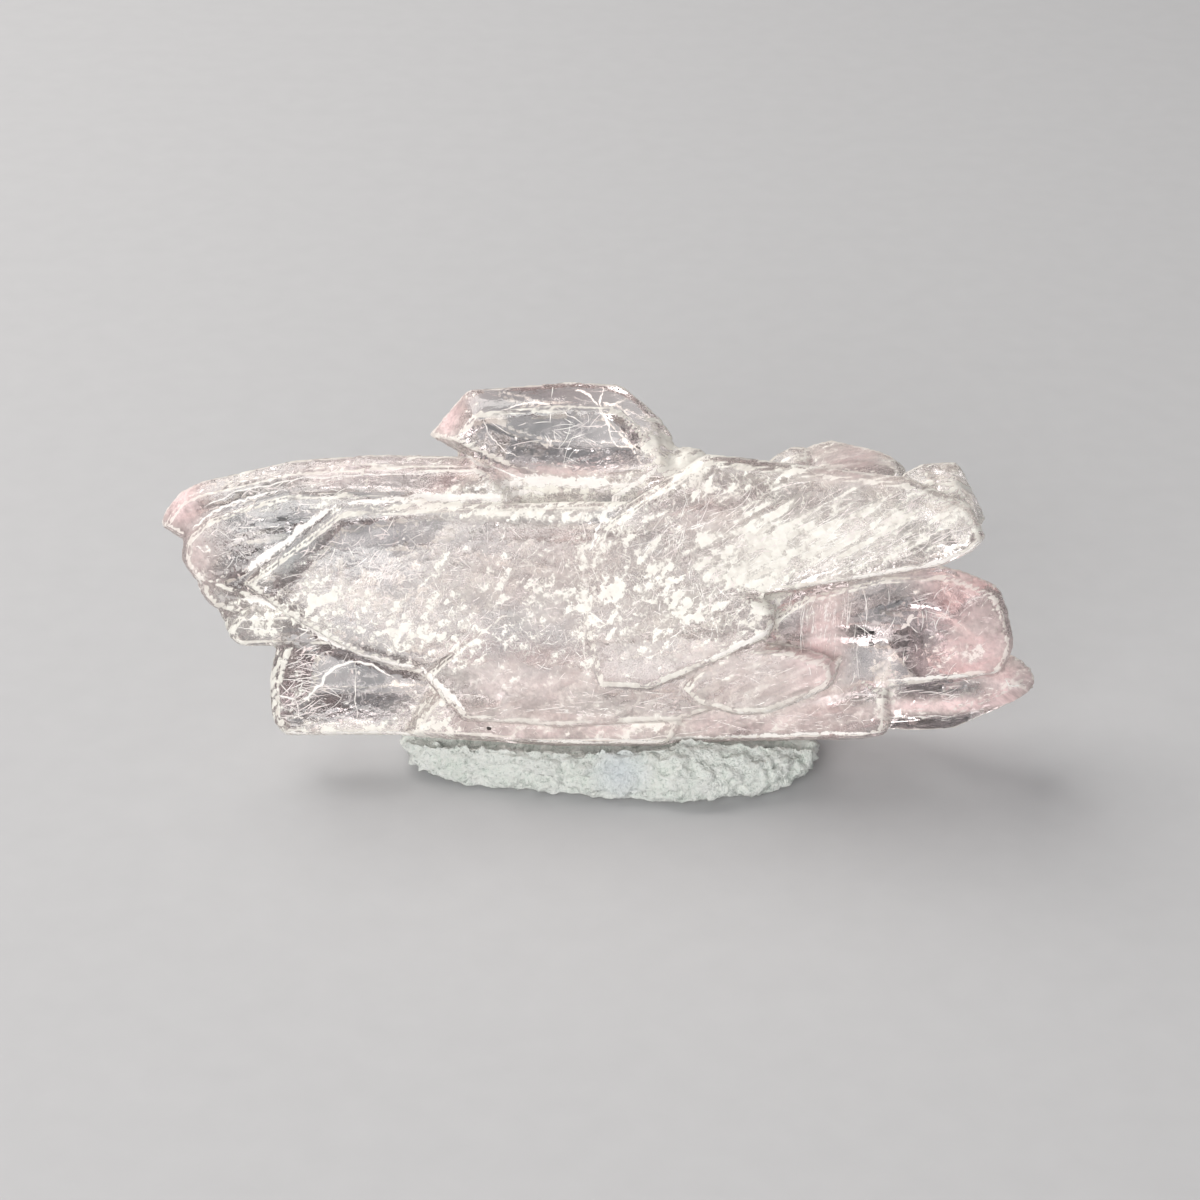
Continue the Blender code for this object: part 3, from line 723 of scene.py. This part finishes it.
def frosting_look(grain_group):
    """Milky haze under broken white chips, brushed streaks and worn edges, the white on edges partly a
    painted highlight and on walls a painted glow.
    """
    made, tree, shader = new_material("white frosting")
    grain = grain_in(tree, grain_group)
    frost, milk, pink, smoky, edge, brush = (attribute(tree, name) for name in
                                             ("frost", "milk", "pink", "smoky", "edge", "brush"))
    speckle, streaks, chips = (calc(tree, "SUBTRACT", grain[name], 0.5)
                               for name in ("Speckle", "Streaks", "Chips"))
    # the grain that breaks up the frost, streaked where the stone is brushed
    brushed = calc(tree, "MULTIPLY", streaks, ranged(tree, brush, 0.0, 1.0, 0.4, 2.4))
    fine = calc(tree, "MULTIPLY_ADD", speckle, ranged(tree, brush, 0.0, 1.0, 1.2, 0.7), brushed)
    broken = calc(tree, "MULTIPLY_ADD", chips, ranged(tree, brush, 0.0, 1.0, 0.9, 0.3), fine)
    # crisp white: chips and streaks, curling hairs, and worn edges whose white is partly a painted edge
    # highlight
    whole = ranged(tree, brush, 0.0, 1.0, 0.72, 0.95)
    crisp = ranged(tree, calc(tree, "ADD", frost, broken), 0.42, whole, 0.0, 0.96)
    hair = calc(tree, "MULTIPLY", grain["Curls"], ranged(tree, frost, 0.05, 0.35, 0.0, 0.95))
    # worn edges turn white here: partly wear, partly a painted edge highlight
    edge_wear_and_highlight = ranged(tree, calc(tree, "MULTIPLY_ADD", fine, 0.25, edge), 0.25, 0.6, 0.0, 0.92)
    crisp = calc(tree, "MAXIMUM", calc(tree, "MAXIMUM", crisp, hair), edge_wear_and_highlight)
    thick = calc(tree, "MULTIPLY", milk, ranged(tree, fine, -0.3, 0.3, 0.6, 1.2))
    # the haze under it
    crackle = ranged(tree, calc(tree, "ABSOLUTE", speckle), 0.0, 0.04, 0.75, 0.0)
    silky = ranged(tree, calc(tree, "MULTIPLY", frost, brush), 0.1, 0.7, 0.0, 0.75)
    haze = mixed(tree, grain["Chips"], HAZE_DARK, HAZE_LIGHT)
    # the smoky haze here is partly painted shade for a dark backdrop seen through the windows
    for amount, colour in ((crackle, HAZE_CRACKLED), (silky, HAZE_SILKY), (pink, HAZE_ROSE),
                           (smoky, HAZE_SMOKY_AND_BACKDROP_SHADE)):
        haze = mixed(tree, amount, haze, colour)
    facets = ranged(tree, calc(tree, "MULTIPLY_ADD", chips, 0.5, speckle), -0.3, 0.25)
    white = mixed(tree, facets, WHITE_SHADED, WHITE_BRIGHT)
    white = mixed(tree, calc(tree, "MULTIPLY", pink, 0.5), white, WHITE_ROSE)
    plug(tree, shader, Base_Color=mixed(tree, crisp, haze, white), Alpha=calc(tree, "MAXIMUM", crisp, thick),
         Roughness=ranged(tree, speckle, -0.2, 0.2, 0.5, 0.3))
    return made


def veil_look(grain_group):
    """Wisps of a healed crack: threads and thin clouds."""
    made, tree, shader = new_material("healed cracks")
    grain = grain_in(tree, grain_group)
    wisp = ranged(tree, calc(tree, "ADD", grain["Streaks"], grain["Speckle"]), 1.02, 1.35, 0.0, 0.7)
    thread = calc(tree, "MAXIMUM", calc(tree, "MULTIPLY", grain["Threads"], 0.8),
                  calc(tree, "MULTIPLY", grain["Cracks"], 0.45))
    cover = calc(tree, "MULTIPLY", calc(tree, "MAXIMUM", wisp, thread), attribute(tree, "fade"))
    plug(tree, shader, Base_Color=mixed(tree, grain["Speckle"], VEIL_ROSE, VEIL_WHITE), Alpha=cover)
    shader.inputs["Roughness"].default_value = 0.4
    return made


def line_look(grain_group):
    """Ragged bright lines and lenses, thinning out towards their sides."""
    made, tree, shader = new_material("bright marks")
    grain = grain_in(tree, grain_group)
    broken = calc(tree, "MULTIPLY_ADD", grain["Speckle"], 1.6, grain["Streaks"])
    cover = ranged(tree, calc(tree, "ADD", attribute(tree, "fade"), broken), 1.35, 1.65, 0.0, 0.95)
    plug(tree, shader, Base_Color=mixed(tree, grain["Speckle"], LINE_ROSE, LINE_WHITE), Alpha=cover)
    shader.inputs["Roughness"].default_value = 0.35
    return made


def flake_look():
    made, tree, shader = new_material("bright flakes")
    spots = noise_node(tree, object_place(tree), FLAKE_FINE, 2).outputs["Fac"]
    plug(tree, shader, Base_Color=mixed(tree, ranged(tree, spots, 0.35, 0.65), FLAKE_ROSE, FLAKE_WHITE),
         Roughness=ranged(tree, spots, 0.3, 0.7, 0.2, 0.45))
    return made


def speck_look():
    made, tree, shader = new_material("dark grain")
    spots = noise_node(tree, object_place(tree), SPECK_FINE, 2).outputs["Fac"]
    plug(tree, shader, Base_Color=mixed(tree, spots, SPECK_BLACK, SPECK_BROWN),
         Roughness=ranged(tree, spots, 0.3, 0.7, 0.4, 0.8))
    return made


def putty_look():
    made, tree, shader = new_material("mineral putty")
    place = object_place(tree)
    lumps = noise_node(tree, place, PUTTY_LUMP_FINE, 5, 0.65).outputs["Fac"]
    grains = noise_node(tree, place, PUTTY_GRAIN_FINE, 4, 0.75).outputs["Fac"]
    colour = mixed(tree, ranged(tree, lumps, 0.35, 0.65), PUTTY_GREEN, PUTTY_PALE)
    colour = mixed(tree, ranged(tree, grains, 0.45, 0.65), colour, PUTTY_GRAIN)
    colour = mixed(tree, ranged(tree, grains, 0.36, 0.45, 0.6, 0.0), colour, PUTTY_PIT)
    # a bluish spot on the front: painted reflection of bluish light
    away = add(tree, "ShaderNodeVectorMath", {0: place, 1: PAINTED_REFLECTION_SPOT}, operation="DISTANCE")
    pressed = ranged(tree, away.outputs["Value"], PAINTED_REFLECTION_HEART, PAINTED_REFLECTION_REACH, 0.7, 0.0)
    bump = add(tree, "ShaderNodeBump", {"Strength": 1.0, "Distance": PUTTY_BUMP,
                                        "Height": calc(tree, "ADD", lumps, grains)})
    plug(tree, shader, Base_Color=mixed(tree, pressed, colour, PUTTY_PAINTED_REFLECTION), Normal=bump.outputs[0],
         Roughness=ranged(tree, grains, 0.3, 0.7, 0.38, 0.65))
    return made


def floor_look():
    made, tree, shader = new_material("pale floor")
    cloth = noise_node(tree, object_place(tree), FLOOR_FINE, 6).outputs["Fac"]
    plug(tree, shader, Base_Color=mixed(tree, cloth, FLOOR_DARK, FLOOR_LIGHT))
    shader.inputs["Roughness"].default_value = 0.8
    return made


# ---------------------------------------------------------------- the quartz

def mark(mesh):
    """Stores at each vertex how frosted, pink, smoky, milky and brushed the stone is, and how worn.
    Walls get extra frost and milk as a painted glow, the smoky windows are painted shade for a dark
    backdrop seen through, and the worn-edge value also lays down a painted edge highlight.
    """
    places = read(mesh.vertices, "co", 3)
    u, v, _ = on_board(places).T
    facing = np.abs(read(mesh.vertices, "normal", 3) @ np.array(TOWARDS))
    glowing_walls = np.clip((WALL_FROM - facing) / (WALL_FROM - WALL_FULL), 0, 1)
    fields = {"edge": np.clip((ridges(mesh) / QUARTZ_GRID - EDGE_FROM) / EDGE_SPAN, 0, 1)}
    for name, (patches, scale, rough, faint, painted_glow_on_walls) in FIELDS.items():
        blotches = noise_at(places + FIELD_SHIFT * len(fields), scale, 3)
        # extra frost and milk on walls: painted glow for light shining through them
        patched = patches_at(patches, u, v) + painted_glow_on_walls * glowing_walls
        fields[name] = np.clip(patched + rough * blotches * (patched + faint), 0, 1)
    for name, values in fields.items():
        mesh.attributes.new(name, "FLOAT", "POINT").data.foreach_set("value", values)


def weather(mesh):
    """Low relief: faces step and roll a little, frosted ones are pitted, and edges are chipped."""
    places = read(mesh.vertices, "co", 3)
    normals = read(mesh.vertices, "normal", 3)
    frost = read(mesh.attributes["frost"].data, "value")
    edge = read(mesh.attributes["edge"].data, "value")
    steps = np.round(noise_at(places * STEP_STRETCH, STEP_SCALE) * STEP_COUNT) / STEP_COUNT
    roll = noise_at(places, ROLL_SCALE)
    pits = noise_at(places, PIT_SCALE, 3)
    chips = np.abs(noise_at(places, CHIP_SCALE))
    outward = (STEP_HEIGHT * steps + ROLL_HEIGHT * roll + pits * (PIT_CLEAR + PIT_FROSTED * frost)
               - CHIP_DEPTH * chips * edge - STONE_SUNK)
    move_to(mesh, places + normals * outward[:, None] * MM, CAD_BOX)


def crystals(look):
    body = even_copy("quartz_cluster", "crystals", QUARTZ_GRID)
    mark(body.data)
    weather(body.data)
    body.data.materials.append(look)
    only(body)
    bpy.ops.object.shade_smooth_by_angle(angle=CRISP)
    body.visible_shadow = False  # what is inside the stone is lit through it
    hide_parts("quartz_cluster")
    return body


def frosting(body, look):
    """A crust just off the stone, over its frosted faces and worn edges; on edges its white is partly a
    painted highlight, and on walls a painted glow.
    """
    skin = copy_of(body, "frosting")
    mesh = skin.data
    frost, milk, edge = (read(mesh.attributes[name].data, "value") for name in ("frost", "milk", "edge"))
    worth = np.maximum(frost, milk) + EDGE_WEAR_AND_HIGHLIGHT_ADDS * edge
    highest = np.zeros(len(mesh.polygons))
    corner_face = np.repeat(np.arange(len(mesh.polygons)), read(mesh.polygons, "loop_total").astype(int))
    np.maximum.at(highest, corner_face, worth[read(mesh.loops, "vertex_index").astype(int)])
    keep_faces(skin, highest > CRUST_FROM)
    places = read(mesh.vertices, "co", 3) + read(mesh.vertices, "normal", 3) * SKIN_LIFT
    move_to(mesh, places, CAD_BOX)
    mesh.materials.append(look)
    return skin


def along(points, part):
    """The place at a part of the way along a smooth line through the points."""
    at = part * (len(points) - 1)
    index = min(int(at), len(points) - 2)
    t = at - index
    before, start, end, after = (Vector(points[min(max(i, 0), len(points) - 1)])
                                 for i in range(index - 1, index + 3))
    return 0.5 * (2 * start + (end - before) * t + (2 * before - 5 * start + 4 * end - after) * t ** 2
                  + (3 * start - before - 3 * end + after) * t ** 3)


def bright_mark(surface, depth, width, points):
    """A tapered strip along its points, at its depth under the stone's front and only where it meets it."""
    bpy.ops.mesh.primitive_grid_add(x_subdivisions=MARK_PIECES * (len(points) - 1),
                                    y_subdivisions=MARK_PIECES_ACROSS, size=2)
    strip = bpy.context.active_object
    fade = strip.data.attributes.new("fade", "FLOAT", "POINT")
    met = np.zeros(len(strip.data.vertices), dtype=bool)
    for vert in strip.data.vertices:
        part = (vert.co.x + 1) / 2
        across = vert.co.y
        ahead = along(points, min(part + MARK_AHEAD, 1)) - along(points, max(part - MARK_AHEAD, 0))
        side = Vector((-ahead.y, ahead.x)).normalized()
        torn_at = (part * MARK_TORN_FINE * len(points), across / 2, points[0][0])
        ragged = 1 + MARK_TORN * noise.noise(torn_at)
        wander = MARK_WANDER * noise.noise((part * MARK_WANDER_FINE * len(points), 7, points[0][1]))
        taper = math.sqrt(max(math.sin(math.pi * part), 0.0))
        place = along(points, part) + side * (wander + across * width / 2 * ragged * taper)
        hit = surface.ray_cast(BOARD @ Vector((place.x, place.y, CLEAR_OF_STONE)), -TOWARDS)[0]
        met[vert.index] = hit is not None
        fade.data[vert.index].value = taper * (1 - abs(across))
        if hit:
            vert.co = hit - TOWARDS * depth * MM
    keep_faces(strip, met[read(strip.data.polygons, "vertices", 4)].all(axis=1))
    return strip


def bright_marks(surface, look):
    made = join([bright_mark(surface, *settings) for settings in MARKS.values()], "bright_marks")
    made.data.materials.append(look)
    return made


def fibre(surface, at, side, heading, bend, reach, width):
    """The places along one fibre on the stone's front or back: its middle there and half its width."""
    line = []
    stretches = SCRATCH_POINTS - 1
    for step in range(SCRATCH_POINTS):
        place = BOARD @ Vector((at.x, at.y, CLEAR_OF_STONE * side))
        hit, normal, _, _ = surface.ray_cast(place, -TOWARDS * side)
        if hit is None or (line and (hit - line[-1][0]).length > SCRATCH_LEAP * reach / stretches * MM):
            break
        across = normal.cross(BOARD.to_3x3() @ Vector((math.cos(heading), math.sin(heading), 0)))
        taper = math.sin(math.pi * (step + 0.5) / SCRATCH_POINTS)
        line.append((hit, hit + normal * SKIN_LIFT, across.normalized() * width / 2 * taper * MM))
        at = at + Vector((math.cos(heading), math.sin(heading))) * reach / stretches
        heading += bend / stretches
    return [(middle, across) for _, middle, across in line]


def scratches(surface, look):
    """Fine bright fibres over the front of the stone, and over its back."""
    dice = random.Random(SCRATCH_SEED)
    corners, faces = [], []
    for u, v, reach_u, reach_v, count, direction, spread_by, length in SCRATCHES:
        for _ in range(count):
            side = dice.choice((1, 1, -1))  # two of three are on the front
            at = Vector((u + dice.gauss(0, SCRATCH_SCATTER) * reach_u,
                         v + dice.gauss(0, SCRATCH_SCATTER) * reach_v))
            heading = math.radians(dice.gauss(direction, spread_by))
            bend = dice.gauss(0, SCRATCH_BEND)
            reach = length * dice.uniform(*SCRATCH_REACH)
            line = fibre(surface, at, side, heading, bend, reach, dice.uniform(*SCRATCH_WIDTH))
            first = len(corners)
            for middle, across in line:
                corners += [middle + across, middle - across]
            faces += [(first + 2 * i, first + 2 * i + 1, first + 2 * i + 3, first + 2 * i + 2)
                      for i in range(len(line) - 1)]
    return from_faces("fine_scratches", corners, faces, look)


def turned_by(place, turns):
    """Takes a sheet's own plane to a place on the board, turned by each (angle, axis) in order."""
    made = BOARD @ Matrix.Translation(place)
    for angle, axis in turns:
        made = made @ Matrix.Rotation(angle, 4, axis)
    return made


def veil(surface, u, v, w, width, height, turn, lean_u, lean_v):
    """One thin wavy sheet, its faces left out where they would leave the stone."""
    bpy.ops.mesh.primitive_grid_add(x_subdivisions=VEIL_GRID[0], y_subdivisions=VEIL_GRID[1], size=2)
    sheet = bpy.context.active_object
    turned = turned_by((u, v, w), ((math.radians(turn), "Z"), (math.radians(lean_u), "X"),
                                   (math.radians(lean_v), "Y")))
    fade = sheet.data.attributes.new("fade", "FLOAT", "POINT")
    for vert in sheet.data.vertices:
        flat = vert.co.copy()
        reach = flat.length * (1 + VEIL_TORN * noise.noise(flat * VEIL_TORN_FINE + Vector((u, v, w))))
        fade.data[vert.index].value = max(0.0, min(1.0, VEIL_FADE * (1 - reach)))
        spot = Vector((flat.x * width, flat.y * height, u)) * VEIL_WAVE_FINE
        wave = noise.fractal(spot, NOISE_FALL, 2.0, 3) * VEIL_WAVE
        vert.co = turned @ Vector((flat.x * width / 2, flat.y * height / 2, wave))
    shown = read(fade.data, "value") > VEIL_FAINTEST
    within = np.array([shown[vert.index] and inside(surface, vert.co) for vert in sheet.data.vertices])
    keep_faces(sheet, within[read(sheet.data.polygons, "vertices", 4)].all(axis=1))
    return sheet


def veils(surface, look):
    made = join([veil(surface, *settings) for settings in VEILS], "healed_cracks")
    made.data.materials.append(look)
    return made


def flakes(surface, look):
    """Small bright flakes inside the stone, most of them where it is frosted."""
    dice = random.Random(FLAKE_SEED)
    corners, faces = [], []
    while len(faces) < FLAKES:
        u, v, w = (dice.uniform(*span) for span in FLAKE_SPANS)
        crowded = (FLAKES_ANYWHERE + float(patches_at(FROSTED, u, v))
                   + FLAKES_IN_MILK * float(patches_at(MILKY, u, v)))
        size = dice.uniform(*FLAKE_SIZE)
        place = BOARD @ Vector((u, v, w))
        if (dice.random() > crowded or surface.find_nearest(place)[3] < size * MM
                or not inside(surface, place)):
            continue
        turned = turned_by((u, v, w), ((dice.gauss(0, FLAKE_TILT), "X"), (dice.gauss(0, FLAKE_TILT), "Y"),
                                       (dice.uniform(0, math.tau), "Z")))
        faces.append([len(corners) + step for step in range(FLAKE_CORNERS)])
        for step in range(FLAKE_CORNERS):
            angle = math.tau * (step + dice.uniform(-FLAKE_UNEVEN, FLAKE_UNEVEN)) / FLAKE_CORNERS
            corners.append(turned @ Vector((math.cos(angle) * dice.uniform(*FLAKE_LONG) * size,
                                            math.sin(angle) * dice.uniform(*FLAKE_WIDE) * size, 0)))
    return from_faces("bright_flakes", corners, faces, look)


def speck(surface, look):
    """A dark grain stuck to the base."""
    hit = surface.ray_cast(BOARD @ Vector((*SPECK, CLEAR_OF_STONE)), -TOWARDS)[0]
    bpy.ops.mesh.primitive_ico_sphere_add(subdivisions=3, radius=SPECK_RADIUS, location=hit)
    made = bpy.context.active_object
    bpy.ops.object.transform_apply(location=True, rotation=True, scale=True)
    made.name = made.data.name = "dark_grain"
    for vert in made.data.vertices:
        away = vert.co - hit
        lumpy = 1 + SPECK_LUMPS * noise.noise(away / MM * SPECK_LUMPS_FINE)
        vert.co = hit + Vector((away.x * SPECK_WIDE, away.y * SPECK_DEEP, away.z)) * lumpy
    made.data.materials.append(look)
    return made


# ---------------------------------------------------------------- the putty

def putty(look):
    body = even_copy("putty_base", "putty", PUTTY_GRID)
    mesh = body.data
    places = read(mesh.vertices, "co", 3)
    normals = read(mesh.vertices, "normal", 3)
    lifted = np.clip(places[:, 2] / FLAT_FOOT, 0, 1)
    lumps = noise_at(places, LUMP_SCALE, 4)
    swells = noise_at(places, SWELL_SCALE, 2)
    folds = np.abs(noise_at(places * FOLD_STRETCH, FOLD_SCALE, 3))
    outward = LUMP_HEIGHT * lumps + SWELL_HEIGHT * swells - PUTTY_SUNK + FOLD_HEIGHT * folds
    start, end = (np.array(spot) for spot in CREASE)
    length = np.linalg.norm(end - start)
    reach = (end - start) / length
    from_start = places[:, (0, 2)] / MM - start
    across = from_start @ (-reach[1], reach[0]) + CREASE_WANDER * outward
    beyond = np.abs(from_start @ reach / length - 0.5) * 2
    in_front = np.clip(CREASE_FADE - beyond, 0, 1) * (places[:, 1] < 0)
    outward -= CREASE_DEPTH * np.exp(-(across / CREASE_WIDTH) ** 2) * in_front
    move_to(mesh, places + normals * (outward * lifted * MM)[:, None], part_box("putty_base"))
    mesh.materials.append(look)
    only(body)
    bpy.ops.object.shade_smooth_by_angle(angle=PUTTY_CRISP)
    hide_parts("putty_base")
    return body


# ---------------------------------------------------------------- the studio

def camera():
    data = bpy.data.cameras.new("camera")
    data.lens = LENS
    data.sensor_width = SENSOR
    data.clip_start = MM
    made = bpy.data.objects.new("camera", data)
    forward = Vector((0, math.cos(VIEW_UP), -math.sin(VIEW_UP)))
    made.location = BOARD @ Vector(AIM) - forward * (VIEW_WIDTH * LENS / SENSOR)
    made.rotation_euler = forward.to_track_quat("-Z", "Y").to_euler()
    bpy.context.scene.collection.objects.link(made)
    bpy.context.scene.camera = made


def floor():
    bpy.ops.mesh.primitive_plane_add(size=FLOOR_SIZE, location=(0, 0, 0))
    made = bpy.context.active_object
    made.name = "floor"
    made.data.materials.append(floor_look())


def softbox(name, size, power, place, colour):
    data = bpy.data.lights.new(name, "AREA")
    data.shape = "RECTANGLE"
    data.size, data.size_y = size
    data.energy = power
    data.color = colour
    made = bpy.data.objects.new(name, data)
    made.location = place
    made.rotation_euler = (LIT_PLACE - Vector(place)).to_track_quat("-Z", "Y").to_euler()
    bpy.context.scene.collection.objects.link(made)


def lights():
    for name, settings in SOFTBOXES.items():
        softbox(name, *settings)
    world = bpy.data.worlds.new("studio")
    world.use_nodes = True
    world.node_tree.nodes["Background"].inputs["Color"].default_value = SKY
    bpy.context.scene.world = world
    bpy.context.scene.view_settings.view_transform = "Standard"
    cycles = bpy.context.scene.cycles
    cycles.max_bounces = 7
    cycles.diffuse_bounces = 2
    cycles.glossy_bounces = 6
    cycles.transmission_bounces = 7
    cycles.transparent_max_bounces = 8


def main():
    only(frame["nodes"]["quartz_cluster"])
    camera()
    floor()
    lights()
    grain = stone_grain()
    stone = crystals(quartz_look(grain))
    bright = flake_look()
    surface = BVHTree.FromObject(stone, bpy.context.evaluated_depsgraph_get())
    pieces = [stone, frosting(stone, frosting_look(grain)), bright_marks(surface, line_look(grain)),
              scratches(surface, bright), veils(surface, veil_look(grain)), flakes(surface, bright),
              speck(surface, speck_look())]
    for piece in pieces:
        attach(piece, "root")
    pad = putty(putty_look())
    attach(pad, "root")


main()
